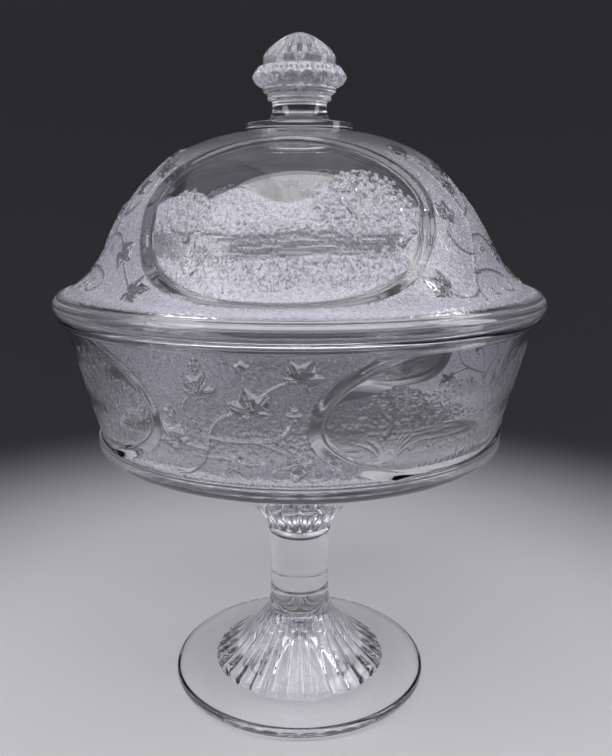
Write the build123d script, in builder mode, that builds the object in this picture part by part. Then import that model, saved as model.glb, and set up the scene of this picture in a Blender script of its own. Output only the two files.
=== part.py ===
from build123d import *
import os
from math import atan, atan2, cos, degrees, hypot, pi, radians, sin

os.makedirs("parts", exist_ok=True)

# Covered compote in clear pressed glass, in millimetres.
# The foot stands on the XY plane with its centre at the origin, and +Z is up.

# Foot, fluted skirt and stem
foot_radius = 59.5
foot_edge_thickness = 5.5
foot_edge_round = 2.2
foot_rise = 1.5
foot_hollow_radius = 34.0
foot_hollow_shoulder_radius = 26.5
foot_hollow_tip_radius = 16.3
foot_hollow_height = 23.0
foot_hollow_lean = 0.3
skirt_radius = 40.0
skirt_collar = 1.15
skirt_height = 26.0
skirt_edge_height = 2.0
skirt_curve = 1.3
skirt_flutes = 32
skirt_flute_depth = 1.8
skirt_flute_fade = 0.1
stem_radius = 13.65
stem_flare_height = 11.0
stem_flare_lean = 0.15
stem_length = 26.5

# Wafer of glass between the stem and the bowl
wafer_thickness = 4.3
wafer_bulge = 0.95

# Bowl with its fluted collar
collar_foot_step = 1.45
collar_radius = 33.0
collar_height = 19.4
collar_curve = 1.45
collar_flutes = 20
collar_flute_depth = 1.1
collar_flute_fade = 0.5
dish_rise = 23.2
band_radius = 89.6
band_height = 7.0
band_step = 0.8
band_lower_roll = 2.35
band_upper_roll = 0.9
wall_height = 48.3
wall_top_radius = 101.5
bowl_wall = 4.6
floor_thickness = 4.6
floor_flat_radius = 28.0
floor_round = 10.0
wall_foot_drop = 2.3
bead_projection = 2.3
bead_height = 4.6
bead_roll = 0.75

# Cover
seat_clearance = 0.3
lip_clearance = 2.0
lip_depth = 6.0
lip_wall = 3.8
flange_overhang = 1.3
flange_height = 7.5
flange_shoulder = 2.5
flange_roll = 1.25
cover_rise = 65.2
cover_wall = 4.2
crown_radius = 23.2

# Curve of the dome: how far out and how high its points lie, as shares of the way from flange to crown
dome_shoulder = (0.435, 0.80)
dome_side = (0.675, 0.46)
dome_waist = (0.770, 0.24)
dome_foot = (0.855, 0.09)
dome_crown_slope = -0.12
dome_foot_slope = -0.35
lining_foot_slope = -1.2

# Sunk picture panels, three on the bowl and three on the cover; their middles lie above the band or the rim
panel_count = 3
panel_depth = 1.0
bowl_panel_turn = 45.3
bowl_panel_half_width = 65.0
bowl_panel_half_height = 29.0
bowl_panel_middle_height = 26.6
bowl_panel_roundness = 2.4
cover_panel_turn = -4.9
cover_panel_half_width = 53.3
cover_panel_half_height = 28.8
cover_panel_middle_height = 39.6
cover_panel_upper_roundness = 1.9
cover_panel_lower_roundness = 3.4

# Ivy on the grounds between the panels: stems as (turn, height) points, leaves as (turn, height, size,
# lean). Turns start at a panel's middle, and heights at the band on the bowl and at the seat on the cover.
ivy_rise = 0.8
ivy_root = 1.0
ivy_prism_reach = 3.2
ivy_stem_width = 1.6
leaf_lobes = [(-118, 0.60), (-52, 0.86), (0, 1.0), (52, 0.86), (118, 0.60)]
leaf_notch = 0.40
bowl_stems = [
    [(43.8, 3.3), (48.0, 2.9), (52.5, 7.4), (54.8, 13.8), (55.8, 19.8), (57.6, 24.4), (65.3, 28.7)],
    [(54.2, 15.2), (52.8, 22.1), (50.4, 28.7), (54.1, 34.9)],
    [(65.3, 28.7), (68.9, 36.7), (74.9, 40.5)],
    [(55.8, 18.0), (65.6, 17.5), (70.4, 18.9), (73.8, 27.7)],
    [(54.6, 10.2), (61.2, 10.5)],
    [(65.6, 17.3), (75.0, 9.9)],
    [(63.9, 44.0), (63.9, 38.1), (65.3, 28.7)],
    [(54.2, 13.1), (47.2, 15.1)],
]
bowl_leaves = [
    (54.1, 34.9, 8.0, 25),
    (65.3, 28.7, 9.5, -15),
    (74.9, 40.5, 8.5, 30),
    (47.2, 15.1, 8.0, -40),
    (61.2, 10.5, 8.0, 160),
    (75.0, 9.9, 8.0, -165),
    (63.9, 44.0, 3.8, 0),
]
cover_stems = [
    [(48.9, 9.4), (51.2, 15.6), (56.4, 25.1), (60.0, 34.1), (61.5, 42.4), (59.5, 50.4), (52.0, 62.4)],
    [(56.4, 25.1), (50.0, 28.9), (50.5, 39.4)],
    [(61.0, 39.4), (67.0, 43.4), (69.0, 55.4)],
    [(52.5, 18.4), (62.0, 18.9), (69.0, 14.9), (66.0, 11.0)],
    [(59.0, 31.5), (67.0, 31.4), (72.0, 25.9), (78.0, 18.4), (84.0, 13.0)],
    [(50.5, 13.4), (44.0, 11.2), (39.5, 14.8)],
]
cover_leaves = [
    (39.5, 14.8, 8.0, -60),
    (84.0, 13.0, 8.0, 75),
    (72.0, 25.9, 7.5, 110),
    (50.5, 39.4, 7.0, 20),
    (69.0, 55.4, 7.5, 10),
    (52.0, 62.4, 6.5, -30),
    (61.0, 49.4, 6.0, 60),
]

# What is raised in a panel, in shares of its half sizes: trees as (across, up, half width, half height)
# of their crowns, and the level of the bank in front of the lake
picture_rise = 0.6
picture_border = 5.0
picture_bank = -0.45
picture_trees = [(0.50, 0.20, 0.30, 0.36), (0.80, 0.00, 0.13, 0.26), (-0.64, 0.06, 0.17, 0.26)]
picture_crown_lobes = 5
picture_crown_core = 0.75
picture_lobe_place = 0.60
picture_lobe_size = 0.40
picture_trunk_foot = -0.30
picture_trunk_width = 2.8

# Finial
disc_thickness = 3.7
neck_radius = 11.45
neck_height = 8.9
neck_foot_slope = 0.4
lower_ring_step = 2.15
lower_ring_height = 3.2
upper_ring_step = 1.8
upper_ring_height = 3.4
scallops = 18
scallop_radius = 3.9
scallop_projection = 4.4
scallop_ring_height = 8.0
knop_setback = 0.2
knop_height = 13.2
knop_band_height = 2.4
knop_ribs = 20
knop_rib_share = 0.08
knop_point = 1.45
knop_cut = 0.97

# Overlap that fuses the formed shapes of one piece, and the spans of a lobed shape
weld = 0.5
spans = 7

# Radii that follow the pieces they meet
skirt_top_radius = stem_radius + skirt_collar
wafer_radius = stem_radius + wafer_bulge
collar_foot_radius = stem_radius + collar_foot_step
wall_foot_radius = band_radius - band_step
wall_slope = (wall_top_radius - wall_foot_radius) / wall_height
bead_radius = wall_top_radius + bead_projection
flange_radius = bead_radius + flange_overhang
mouth_radius = wall_top_radius + wall_slope * bead_height - bowl_wall
lower_ring_radius = neck_radius + lower_ring_step
upper_ring_radius = lower_ring_radius + upper_ring_step
scallop_ring_radius = upper_ring_radius + scallop_projection - scallop_radius
knop_radius = upper_ring_radius - knop_setback

# Heights above the table
foot_top = foot_edge_thickness + foot_rise
skirt_top = foot_top + skirt_height
stem_base = skirt_top + stem_flare_height
stem_top = stem_base + stem_length
wafer_top = stem_top + wafer_thickness
collar_top = wafer_top + collar_height
band_base = collar_top + dish_rise
band_top = band_base + band_height
wall_top = band_top + wall_height
rim = wall_top + bead_height
cover_base = rim + seat_clearance
flange_top = cover_base + flange_height
crown = flange_top + cover_rise
disc_top = crown + disc_thickness
neck_top = disc_top + neck_height
lower_ring_top = neck_top + lower_ring_height
upper_ring_top = lower_ring_top + upper_ring_height
knop_base = upper_ring_top + scallop_ring_height

# Outline of the cover from its crown down to the flange: a dome with a flared foot
flare_radius = flange_radius - flange_shoulder
dome_outline = [
    (crown_radius + (flare_radius - crown_radius) * out, flange_top + cover_rise * up)
    for out, up in [(0, 1), dome_shoulder, dome_side, dome_waist, dome_foot, (1, 0)]
]
dome_ends = [(1, dome_crown_slope), (1, dome_foot_slope)]
dome_curve = Spline(dome_outline, tangents=dome_ends)


def around(radius, turn):
    """Point on a circle about Z, with its turn in degrees from +X."""
    return radius * cos(radians(turn)), radius * sin(radians(turn))


def lobed_face(height, crest, depth, lobes):
    """Level face at a height, bounded by a ring of convex lobes."""
    pitch = 360 / lobes
    with BuildSketch(Plane.XY.offset(height)) as face:
        with BuildLine():
            for lobe in range(lobes):
                turn = lobe * pitch
                ThreePointArc(
                    around(crest - depth, turn - pitch / 2),
                    around(crest, turn),
                    around(crest - depth, turn + pitch / 2),
                )
        make_face()
    return face.sketch


def flared_faces(narrow, wide, curve, depth, fade, lobes):
    """Lobed faces from a narrow (radius, height) to a wide one; curve bends the flare."""
    faces = []
    for span in range(spans + 1):
        share = span / spans
        faces.append(lobed_face(
            narrow[1] + (wide[1] - narrow[1]) * share,
            narrow[0] + (wide[0] - narrow[0]) * share**curve,
            depth * (fade + (1 - fade) * share),
            lobes,
        ))
    return faces


def inset(outline, depth):
    """Points of an outline that runs downwards, moved square to it into the hollow."""
    moved = []
    for i, (radius, height) in enumerate(outline):
        before = outline[max(i - 1, 0)]
        after = outline[min(i + 1, len(outline) - 1)]
        run = after[0] - before[0]
        fall = after[1] - before[1]
        length = hypot(run, fall)
        moved.append((radius + depth * fall / length, height - depth * run / length))
    return moved


def panel_outline(half_width, half_height, upper, lower, points=24):
    """Closed points of a panel: a rounded box whose upper and lower halves differ in roundness."""
    outline = []
    for i in range(points):
        across = cos(2 * pi * i / points)
        up = sin(2 * pi * i / points)
        roundness = upper if up > 0 else lower
        outline.append((
            half_width * abs(across) ** (2 / roundness) * (1 if across > 0 else -1),
            half_height * abs(up) ** (2 / roundness) * (1 if up > 0 else -1),
        ))
    return outline


def bowl_spot(height):
    """Radius and tilt of the bowl's wall at a height."""
    return wall_foot_radius + wall_slope * (height - band_top), -degrees(atan(wall_slope))


def dome_spot(height):
    """Radius and tilt of the dome at a height, found by halving the stretch of its curve."""
    high, low = 0.0, 1.0
    for _ in range(24):
        share = (high + low) / 2
        if dome_curve.position_at(share).Y > height:
            high = share
        else:
            low = share
    along = dome_curve.tangent_at(share)
    return dome_curve.position_at(share).X, degrees(atan2(along.X, -along.Y))


def dome_skin(under, over):
    """Face between two curves that lie under and over the dome's outline."""
    inner, outer = inset(dome_outline, under), inset(dome_outline, -over)
    with BuildSketch(Plane.XZ) as face:
        with BuildLine():
            Spline(inner, tangents=dome_ends)
            Line(inner[-1], outer[-1])
            Spline(outer, tangents=dome_ends)
            Line(outer[0], inner[0])
        make_face()
    return face.sketch


def wall_plane(turn, radius, height, tilt):
    """Plane on a turned wall that faces out, with its own Y up the wall; turns start at -Y."""
    outward = Vector(sin(radians(turn)), -cos(radians(turn)), 0)
    return Plane(
        origin=outward * radius + Vector(0, 0, height),
        x_dir=(cos(radians(turn)), sin(radians(turn)), 0),
        z_dir=outward * cos(radians(tilt)) + Vector(0, 0, sin(radians(tilt))),
    )


def leaf_outline(size, lean):
    """Corners of a five-pointed ivy leaf: each lobe's tip, and the notch after it."""
    outline = []
    for lobe, (swing, reach) in enumerate(leaf_lobes):
        following = leaf_lobes[lobe + 1][0] if lobe + 1 < len(leaf_lobes) else leaf_lobes[0][0] + 360
        for way, share in ((swing, reach), ((swing + following) / 2, leaf_notch)):
            turn = radians(way + lean)
            outline.append((size * share * sin(turn), size * share * cos(turn)))
    return outline


def ivy_prisms(leaves, stems, base, spot):
    """Prisms through a wall for leaves and stems; spot gives its radius and tilt at a height."""
    with BuildPart() as prisms:
        for turn, up, size, lean in leaves:
            radius, tilt = spot(base + up)
            with BuildSketch(wall_plane(turn, radius, base + up, tilt)):
                with BuildLine():
                    Polyline(leaf_outline(size, lean), close=True)
                make_face()
            extrude(amount=ivy_prism_reach, both=True)
        for stem in stems:
            for (turn, up), (next_turn, next_up) in zip(stem, stem[1:]):
                radius, tilt = spot(base + (up + next_up) / 2)
                across = radians(next_turn - turn) * radius
                along = hypot(next_up - up, spot(base + next_up)[0] - spot(base + up)[0])
                run = hypot(across, along) + ivy_stem_width / 2
                lean = degrees(atan2(along if next_up > up else -along, across))
                middle = (turn + next_turn) / 2
                with BuildSketch(wall_plane(middle, radius, base + (up + next_up) / 2, tilt)):
                    Rectangle(run, ivy_stem_width, rotation=lean)
                extrude(amount=ivy_prism_reach, both=True)
    return prisms.part


def picture_prisms(half_width, half_height, middle, upper, lower):
    """Prisms towards -Y for what is raised in a panel: the trees and the bank."""
    with BuildPart() as prisms:
        with BuildSketch(Plane.XZ):
            for across, up, wide, tall in picture_trees:
                x, y = across * half_width, middle + up * half_height
                half_crown, half_tall = wide * half_width, tall * half_height
                with Locations((x, y)):
                    Ellipse(picture_crown_core * half_crown, picture_crown_core * half_tall)
                for lobe in range(picture_crown_lobes):
                    turn = 2 * pi * lobe / picture_crown_lobes + pi / 10
                    out = picture_lobe_place * half_crown * cos(turn)
                    rise = picture_lobe_place * half_tall * sin(turn)
                    with Locations((x + out, y + rise)):
                        Circle(picture_lobe_size * min(half_crown, half_tall))
                foot = middle + picture_trunk_foot * half_height
                with Locations((x, (foot + y) / 2)):
                    Rectangle(picture_trunk_width, y - foot)
            with BuildLine():
                edge = panel_outline(half_width - picture_border, half_height - picture_border, upper, lower)
                Polyline([(x, middle + y) for x, y in edge if y < picture_bank * half_height], close=True)
            make_face()
        extrude(amount=flange_radius)
    return prisms.part


# Pedestal: foot, skirt of convex flutes and stem, pressed in one piece
with BuildPart() as pedestal:
    with BuildSketch(Plane.XZ):
        with BuildLine():
            FilletPolyline(
                (0, 0),
                (foot_radius, 0),
                (foot_radius, foot_edge_thickness),
                (skirt_radius - weld, foot_top),
                radius=foot_edge_round,
            )
            Polyline(
                (skirt_radius - weld, foot_top),
                (stem_radius - weld, foot_top),
                (stem_radius - weld, skirt_top - weld),
                (skirt_top_radius - weld, skirt_top - weld),
                (skirt_top_radius - weld, skirt_top),
            )
            Spline(
                (skirt_top_radius - weld, skirt_top),
                (stem_radius, stem_base),
                tangents=[(-stem_flare_lean, 1), (0, 1)],
            )
            Polyline((stem_radius, stem_base), (stem_radius, stem_top), (0, stem_top), (0, 0))
        make_face()
    revolve(axis=Axis.Z)
    skirt_faces = flared_faces(
        (skirt_top_radius, skirt_top),
        (skirt_radius - weld, foot_top + skirt_edge_height),
        skirt_curve,
        skirt_flute_depth,
        skirt_flute_fade,
        skirt_flutes,
    )
    skirt_faces.append(
        lobed_face(foot_top - weld, skirt_radius, skirt_flute_depth, skirt_flutes)
    )
    loft(skirt_faces)
    with BuildSketch(Plane.XZ):
        with BuildLine():
            Spline(
                (foot_hollow_radius, 0),
                (foot_hollow_shoulder_radius, foot_hollow_height / 3),
                (foot_hollow_tip_radius, foot_hollow_height * 2 / 3),
                (0, foot_hollow_height),
                tangents=[(-foot_hollow_lean, 1), (-1, 0)],
            )
            Polyline((0, foot_hollow_height), (0, 0), (foot_hollow_radius, 0))
        make_face()
    revolve(axis=Axis.Z, mode=Mode.SUBTRACT)
pedestal.part.label = "pedestal"
export_step(pedestal.part, "parts/pedestal.step")

# Wafer: the gob of glass that joined the bowl to the hot stem, its edge softly rounded
with BuildPart() as wafer:
    with BuildSketch(Plane.XZ):
        with BuildLine():
            Polyline((stem_radius, stem_top), (0, stem_top), (0, wafer_top))
            Line((0, wafer_top), (collar_foot_radius - collar_flute_depth / 2, wafer_top))
            ThreePointArc(
                (collar_foot_radius - collar_flute_depth / 2, wafer_top),
                (wafer_radius, stem_top + wafer_thickness / 2),
                (stem_radius, stem_top),
            )
        make_face()
    revolve(axis=Axis.Z)
wafer.part.label = "wafer"
export_step(wafer.part, "parts/wafer.step")

# Bowl panel: what is sunk from the wall for one picture panel that faces -Y
with BuildPart() as bowl_panel:
    with BuildSketch(Plane.XZ):
        with BuildLine():
            Spline(
                [
                    (across, band_top + bowl_panel_middle_height + up)
                    for across, up in panel_outline(
                        bowl_panel_half_width,
                        bowl_panel_half_height,
                        bowl_panel_roundness,
                        bowl_panel_roundness,
                    )
                ],
                periodic=True,
            )
        make_face()
        with Locations((0, (band_top + wall_top) / 2)):
            Rectangle(3 * bowl_panel_half_width, wall_height, mode=Mode.INTERSECT)
    extrude(amount=flange_radius)
    with BuildSketch(Plane.XZ):
        with BuildLine():
            Polyline(
                (0, band_base),
                (wall_foot_radius - panel_depth - wall_slope * band_height, band_base),
                (wall_top_radius - panel_depth + wall_slope * bead_height, rim),
                (0, rim),
                close=True,
            )
        make_face()
    revolve(axis=Axis.Z, mode=Mode.SUBTRACT)

# Relief that the bowl's wall carries in one third of the way round: ivy, and the trees and bank of a panel
with BuildPart() as bowl_ivy:
    add(ivy_prisms(bowl_leaves, bowl_stems, band_top, bowl_spot))
    with BuildSketch(Plane.XZ):
        with BuildLine():
            Polyline(
                (wall_foot_radius - ivy_root, band_top),
                (wall_foot_radius + ivy_rise, band_top),
                (wall_top_radius + ivy_rise, wall_top),
                (wall_top_radius - ivy_root, wall_top),
                close=True,
            )
        make_face()
    revolve(axis=Axis.Z, mode=Mode.INTERSECT)
with BuildPart() as bowl_picture:
    add(picture_prisms(
        bowl_panel_half_width,
        bowl_panel_half_height,
        band_top + bowl_panel_middle_height,
        bowl_panel_roundness,
        bowl_panel_roundness,
    ))
    with BuildSketch(Plane.XZ):
        with BuildLine():
            Polyline(
                (wall_foot_radius - panel_depth - ivy_root, band_top),
                (wall_foot_radius - panel_depth + picture_rise, band_top),
                (wall_top_radius - panel_depth + picture_rise, wall_top),
                (wall_top_radius - panel_depth - ivy_root, wall_top),
                close=True,
            )
        make_face()
    revolve(axis=Axis.Z, mode=Mode.INTERSECT)

# Bowl: a straight flared wall on a shallow dish, with a plain band, a rim bead and a collar
with BuildPart() as bowl:
    with BuildSketch(Plane.XZ):
        with BuildLine():
            Polyline(
                (0, wafer_top),
                (collar_foot_radius - 2 * collar_flute_depth, wafer_top),
                (collar_foot_radius - 2 * collar_flute_depth, collar_top - weld),
                (collar_radius - 3 * weld, collar_top - weld),
                (band_radius - band_lower_roll, band_base),
            )
            ThreePointArc(
                (band_radius - band_lower_roll, band_base),
                (band_radius, band_base + band_height / 2),
                (band_radius - band_upper_roll, band_top),
            )
            Polyline(
                (band_radius - band_upper_roll, band_top),
                (wall_foot_radius, band_top + band_step / 2),
                (wall_top_radius, wall_top),
            )
            ThreePointArc(
                (wall_top_radius, wall_top),
                (bead_radius, wall_top + bead_height / 2),
                (bead_radius - bead_roll, rim),
            )
            floor_height = collar_top + floor_thickness
            Line((bead_radius - bead_roll, rim), (mouth_radius, rim))
            FilletPolyline(
                (mouth_radius, rim),
                (wall_foot_radius - bowl_wall, band_top - wall_foot_drop),
                (floor_flat_radius, floor_height),
                (0, floor_height),
                radius=floor_round,
            )
            Line((0, floor_height), (0, wafer_top))
        make_face()
    revolve(axis=Axis.Z)
    loft(flared_faces(
        (collar_foot_radius, wafer_top),
        (collar_radius, collar_top),
        collar_curve,
        collar_flute_depth,
        collar_flute_fade,
        collar_flutes,
    ))
    for panel in range(panel_count):
        turn = bowl_panel_turn + panel * 360 / panel_count
        add(bowl_panel.part, rotation=(0, 0, turn), mode=Mode.SUBTRACT)
    for panel in range(panel_count):
        turn = bowl_panel_turn + panel * 360 / panel_count
        add(bowl_ivy.part, rotation=(0, 0, turn))
        add(bowl_picture.part, rotation=(0, 0, turn))
bowl.part.label = "bowl"
export_step(bowl.part, "parts/bowl.step")

# Cover panel: what is sunk from the dome for one picture panel that faces -Y
with BuildPart() as cover_panel:
    with BuildSketch(Plane.XZ):
        with BuildLine():
            Spline(
                [
                    (across, cover_base + cover_panel_middle_height + up)
                    for across, up in panel_outline(
                        cover_panel_half_width,
                        cover_panel_half_height,
                        cover_panel_upper_roundness,
                        cover_panel_lower_roundness,
                    )
                ],
                periodic=True,
            )
        make_face()
    extrude(amount=flange_radius)
    with BuildSketch(Plane.XZ):
        with BuildLine():
            floor_outline = inset(dome_outline, panel_depth)
            Spline(floor_outline, tangents=dome_ends)
            Polyline(floor_outline[-1], (floor_outline[-1][0], 0), (0, 0), (0, floor_outline[0][1]))
            Line((0, floor_outline[0][1]), floor_outline[0])
        make_face()
    revolve(axis=Axis.Z, mode=Mode.SUBTRACT)

# Relief that the dome carries in one third of the way round: ivy, and the trees and bank of a panel
with BuildPart() as cover_ivy:
    add(ivy_prisms(cover_leaves, cover_stems, cover_base, dome_spot))
    revolve(dome_skin(ivy_root, ivy_rise), axis=Axis.Z, mode=Mode.INTERSECT)
with BuildPart() as cover_picture:
    add(picture_prisms(
        cover_panel_half_width,
        cover_panel_half_height,
        cover_base + cover_panel_middle_height,
        cover_panel_upper_roundness,
        cover_panel_lower_roundness,
    ))
    revolve(dome_skin(panel_depth + ivy_root, picture_rise - panel_depth), axis=Axis.Z, mode=Mode.INTERSECT)

# Cover: a dome with a rolled flange, and a lip that drops inside the bowl's rim
with BuildPart() as cover:
    with BuildSketch(Plane.XZ):
        with BuildLine():
            lip_radius = mouth_radius - lip_clearance
            lining = inset(dome_outline, cover_wall)[:-1]
            Line((0, crown), dome_outline[0])
            Spline(dome_outline, tangents=dome_ends)
            ThreePointArc(
                dome_outline[-1],
                (flange_radius, cover_base + flange_height / 2),
                (flange_radius - flange_roll, cover_base),
            )
            Polyline(
                (flange_radius - flange_roll, cover_base),
                (lip_radius, cover_base),
                (lip_radius, cover_base - lip_depth),
                (lip_radius - lip_wall, cover_base - lip_depth),
                (lip_radius - lip_wall, cover_base + flange_height / 2),
                lining[-1],
            )
            Spline(lining, tangents=[(1, dome_crown_slope), (1, lining_foot_slope)])
            Polyline(lining[0], (0, lining[0][1]), (0, crown))
        make_face()
    revolve(axis=Axis.Z)
    for panel in range(panel_count):
        turn = cover_panel_turn + panel * 360 / panel_count
        add(cover_panel.part, rotation=(0, 0, turn), mode=Mode.SUBTRACT)
    for panel in range(panel_count):
        turn = cover_panel_turn + panel * 360 / panel_count
        add(cover_ivy.part, rotation=(0, 0, turn))
        add(cover_picture.part, rotation=(0, 0, turn))
cover.part.label = "cover"
export_step(cover.part, "parts/cover.step")

# Finial: a disc, a waisted neck, two plain rings, a ring of scallops and a ribbed, pointed knop
with BuildPart() as finial:
    with BuildSketch(Plane.XZ):
        with BuildLine():
            Polyline(
                (0, crown),
                (crown_radius, crown),
                (crown_radius, disc_top),
                (lower_ring_radius, disc_top),
            )
            Spline(
                (lower_ring_radius, disc_top),
                (neck_radius, disc_top + neck_height / 2),
                (neck_radius, neck_top),
                tangents=[(-1, neck_foot_slope), (0, 1)],
            )
            Polyline(
                (neck_radius, neck_top),
                (lower_ring_radius, neck_top),
                (lower_ring_radius, lower_ring_top),
                (upper_ring_radius, lower_ring_top),
                (upper_ring_radius, upper_ring_top),
                (scallop_ring_radius, upper_ring_top),
                (scallop_ring_radius, knop_base),
                (knop_radius, knop_base),
                (knop_radius, knop_base + knop_band_height),
                (0, knop_base + knop_band_height),
                (0, crown),
            )
        make_face()
    revolve(axis=Axis.Z)
    with Locations((0, 0, upper_ring_top + scallop_ring_height / 2)):
        with PolarLocations(scallop_ring_radius, scallops):
            Sphere(scallop_radius)
    knop_faces = []
    for span in range(spans + 1):
        rise = knop_band_height + knop_cut * (knop_height - knop_band_height) * span / spans
        radius = knop_radius * (1 - (rise / knop_height) ** knop_point) ** (1 / knop_point)
        knop_faces.append(
            lobed_face(knop_base + rise, radius, radius * knop_rib_share, knop_ribs)
        )
    loft(knop_faces)
finial.part.label = "finial"
export_step(finial.part, "parts/finial.step")
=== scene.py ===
from math import asin, atan2, cos, degrees, hypot, pi, radians, sin
import bpy
import numpy as np
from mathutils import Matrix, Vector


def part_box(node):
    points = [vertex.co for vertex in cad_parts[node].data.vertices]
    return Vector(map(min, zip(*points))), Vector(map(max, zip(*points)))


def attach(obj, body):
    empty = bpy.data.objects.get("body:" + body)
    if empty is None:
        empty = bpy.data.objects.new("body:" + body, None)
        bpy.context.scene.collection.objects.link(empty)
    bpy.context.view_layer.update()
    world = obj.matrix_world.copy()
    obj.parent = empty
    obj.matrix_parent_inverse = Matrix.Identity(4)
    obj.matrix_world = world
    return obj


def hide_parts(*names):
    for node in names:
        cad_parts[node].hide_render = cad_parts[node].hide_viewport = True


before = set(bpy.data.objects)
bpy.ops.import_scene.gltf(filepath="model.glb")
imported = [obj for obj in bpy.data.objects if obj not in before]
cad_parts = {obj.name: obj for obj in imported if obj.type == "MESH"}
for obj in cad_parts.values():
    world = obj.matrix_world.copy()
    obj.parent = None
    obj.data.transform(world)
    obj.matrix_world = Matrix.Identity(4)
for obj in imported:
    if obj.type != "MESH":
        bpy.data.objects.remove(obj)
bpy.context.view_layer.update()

# The camera stands close in front, a little above the rim, and looks slightly down.
# The compote stands a little left of the picture's middle, which the shift gives.
look_down = 12.66
camera_data = bpy.data.cameras.new("camera")
camera_data.sensor_width = 36
camera_data.lens = 37.79
camera_data.shift_x = 0.0086
camera = bpy.data.objects.new("camera", camera_data)
camera.location = (0, -0.3517, 0.2227)
camera.rotation_euler = (radians(90 - look_down), 0, 0)
scene = bpy.context.scene
scene.collection.objects.link(camera)
scene.camera = camera
scene.view_settings.view_transform = "Standard"

# The cover is pressed in one hit: a dome with a flared foot, a rolled flange and a lip that
# drops inside the bowl. Three sunk pictures stand on a stippled ground, with ivy between them.
# The plunger leaves its inside smooth. Its sizes are in millimetres, its turns in degrees.
mm = 0.001
lip_depth = 6.0
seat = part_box("cover")[0][2] / mm + lip_depth
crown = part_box("cover")[1][2] / mm
flange_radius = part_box("cover")[1][0] / mm
crown_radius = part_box("finial")[1][0] / mm
flange_top = seat + 7.5
flare_radius = flange_radius - 2.5
lip_radius = 96.0
lip_wall = 3.7
cover_wall = 4.2
lilac_glass = (0.965, 0.960, 0.985, 1)
# The milky colour serves the stipple, and is a painted highlight on the crests of the finial, the skirt
# and the collar.
milky_glass_and_highlight = (0.84, 0.82, 0.985, 1)
stipple_grain = 0.055
flange_haze = 0.30
cover_dullness = 0.82
pictures = 3
pitch = 360 / pictures
pressed_columns = 1440
pressed_step = 0.45
picture_depth = 1.0
cover_picture_turn = -4.9
cover_picture_middle = seat + 39.6
cover_picture_half_width = 53.3
cover_picture_half_height = 28.8
cover_picture_upper_round = 1.9
cover_picture_lower_round = 3.4
cover_picture_strength = 1.0
cover_picture_seed = 10
cover_stem_half_width = 0.60


def smooth_line(points, step):
    """Points about step apart on a smooth curve through the given ones."""
    points = np.array(points, float)
    chord = np.concatenate([[0], np.cumsum(np.hypot(*np.diff(points, axis=0).T))])
    slope = np.gradient(points, chord, axis=0, edge_order=min(2, len(points) - 1))
    where = np.linspace(0, chord[-1], max(3, round(chord[-1] / step) + 1))
    span = np.clip(np.searchsorted(chord, where, side="right") - 1, 0, len(chord) - 2)
    length = (chord[span + 1] - chord[span])[:, None]
    t = (where[:, None] - chord[span][:, None]) / length
    return (
        (2 * t**3 - 3 * t**2 + 1) * points[span]
        + (t**3 - 2 * t**2 + t) * length * slope[span]
        + (3 * t**2 - 2 * t**3) * points[span + 1]
        + (t**3 - t**2) * length * slope[span + 1]
    )


def eased_line(corners, step):
    """Straight runs between (radius, height, ease) corners, each corner rounded off by its ease."""
    spots = np.array([corner[:2] for corner in corners], float)
    line = [spots[0]]
    for k in range(1, len(spots) - 1):
        back, on = spots[k - 1] - spots[k], spots[k + 1] - spots[k]
        ease = min(corners[k][2], 0.48 * np.hypot(*back), 0.48 * np.hypot(*on))
        enter = spots[k] + back / np.hypot(*back) * ease
        leave = spots[k] + on / np.hypot(*on) * ease
        runs = max(1, int(np.hypot(*(enter - line[-1])) / step))
        line += [line[-1] + (enter - line[-1]) * run / runs for run in range(1, runs)]
        bends = np.linspace(0, 1, 5 if ease > 0.1 else 1)
        line += [(1 - t) ** 2 * enter + 2 * t * (1 - t) * spots[k] + t**2 * leave for t in bends]
    runs = max(1, int(np.hypot(*(spots[-1] - line[-1])) / step))
    line += [line[-1] + (spots[-1] - line[-1]) * run / runs for run in range(1, runs + 1)]
    return np.array(line)


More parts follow.
